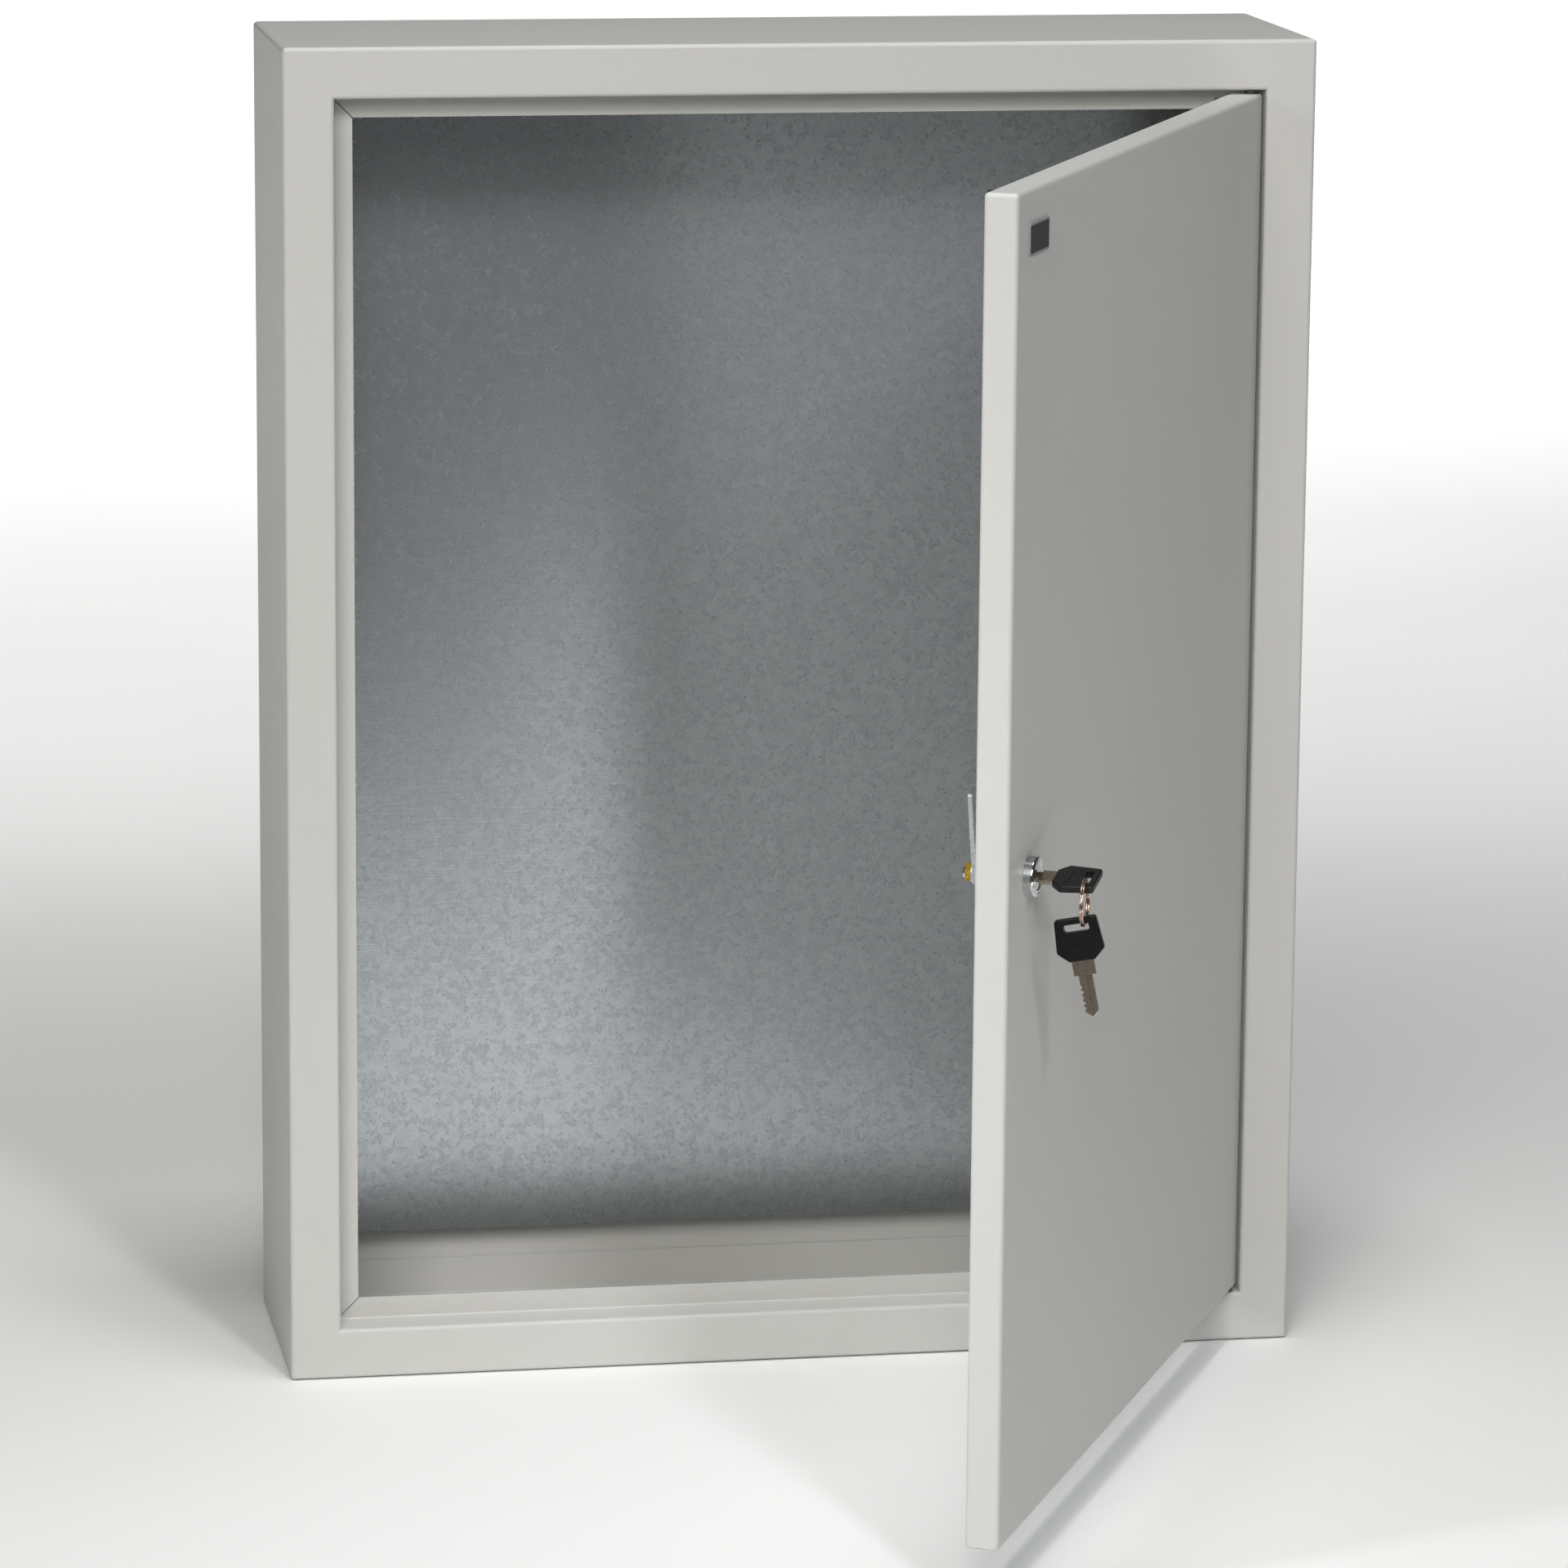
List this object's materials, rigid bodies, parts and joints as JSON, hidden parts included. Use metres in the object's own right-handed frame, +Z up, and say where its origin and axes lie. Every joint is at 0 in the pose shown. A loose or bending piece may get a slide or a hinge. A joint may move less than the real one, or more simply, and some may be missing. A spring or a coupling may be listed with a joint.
{
  "type": "lockable wall cabinet",
  "caption": "Shallow folded-steel wall cabinet with a hinged, key-locked door standing open and a galvanised plate inside; the key and a spare hang on a ring in the lock.",
  "frame": {"origin": "centre of the outer back face, which lies on the wall", "axes": "+X right seen from the front, +Y into the wall, +Z up"},
  "size_m": [0.5, 0.5316, 0.65],
  "materials": {
    "painted_steel": "fine powder coat, light grey, satin",
    "galvanised": "hot-dip galvanised with soft spangle",
    "zinc": "bright zinc plate",
    "chrome": "polished",
    "brass": "turned",
    "nickel": "nickel plate, milled",
    "copper_plate": "worn copper plate",
    "black_plastic": "moulded, matt",
    "badge": "printed foil",
    "nylon": "natural",
    "rubber": "matt"
  },
  "bodies": {
    "cabinet": {"top_panel": "painted_steel", "bottom_panel": "painted_steel", "left_panel": "painted_steel", "right_panel": "painted_steel", "back_panel": "painted_steel", "mounting_plate": "galvanised", "plate_studs": "zinc", "plate_spacers": "zinc", "plate_washers": "zinc", "plate_nuts": "zinc", "earth_stud": "zinc", "earth_washer": "zinc", "earth_nut": "zinc", "upper_hinge_pin": "zinc", "lower_hinge_pin": "zinc", "upper_hinge_washer": "nylon", "lower_hinge_washer": "nylon"},
    "door": {"door_panel": "painted_steel", "upper_hinge_block": "painted_steel", "lower_hinge_block": "painted_steel", "door_buffers": "rubber", "door_badge": "badge", "door_earth_stud": "zinc", "door_earth_nut": "zinc", "lock_body": "chrome", "lock_nut": "zinc"},
    "plug": {"lock_plug": "chrome", "tumbler_wafers": "brass", "cam": "zinc", "cam_washer": "zinc", "cam_nut": "brass"},
    "key": {"key_blade": "nickel", "key_bow": "black_plastic"},
    "ring": {"key_ring": "copper_plate"},
    "spare_key": {"spare_key_blade": "nickel", "spare_key_bow": "black_plastic"}
  },
  "joints": [
    {"name": "door_hinge", "type": "hinge", "parent": "cabinet", "child": "door", "pos_m": [0.219, -0.1354, 0], "axis": [0, 0, 1], "range_deg": [-62.7, 47.3]},
    {"name": "lock_turn", "type": "hinge", "parent": "door", "child": "plug", "pos_m": [0.03458, -0.50273, -0.0015], "axis": [-0.8886, 0.4586, 0], "range_deg": [-76, 14]},
    {"name": "key_withdraw", "type": "slide", "parent": "plug", "child": "key", "axis": [0.8886, -0.4586, 0], "range_m": [0, 0.03]},
    {"name": "ring_swing", "type": "hinge", "parent": "key", "child": "ring", "pos_m": [0.05578, -0.52184, -0.00331], "axis": [0.9317, -0.3633, 0], "range_deg": [-90, 42]},
    {"name": "spare_key_swing", "type": "hinge", "parent": "ring", "child": "spare_key", "pos_m": [0.05578, -0.52184, -0.01691], "axis": [0.9317, -0.3633, 0], "range_deg": [-30, 30]}
  ]
}
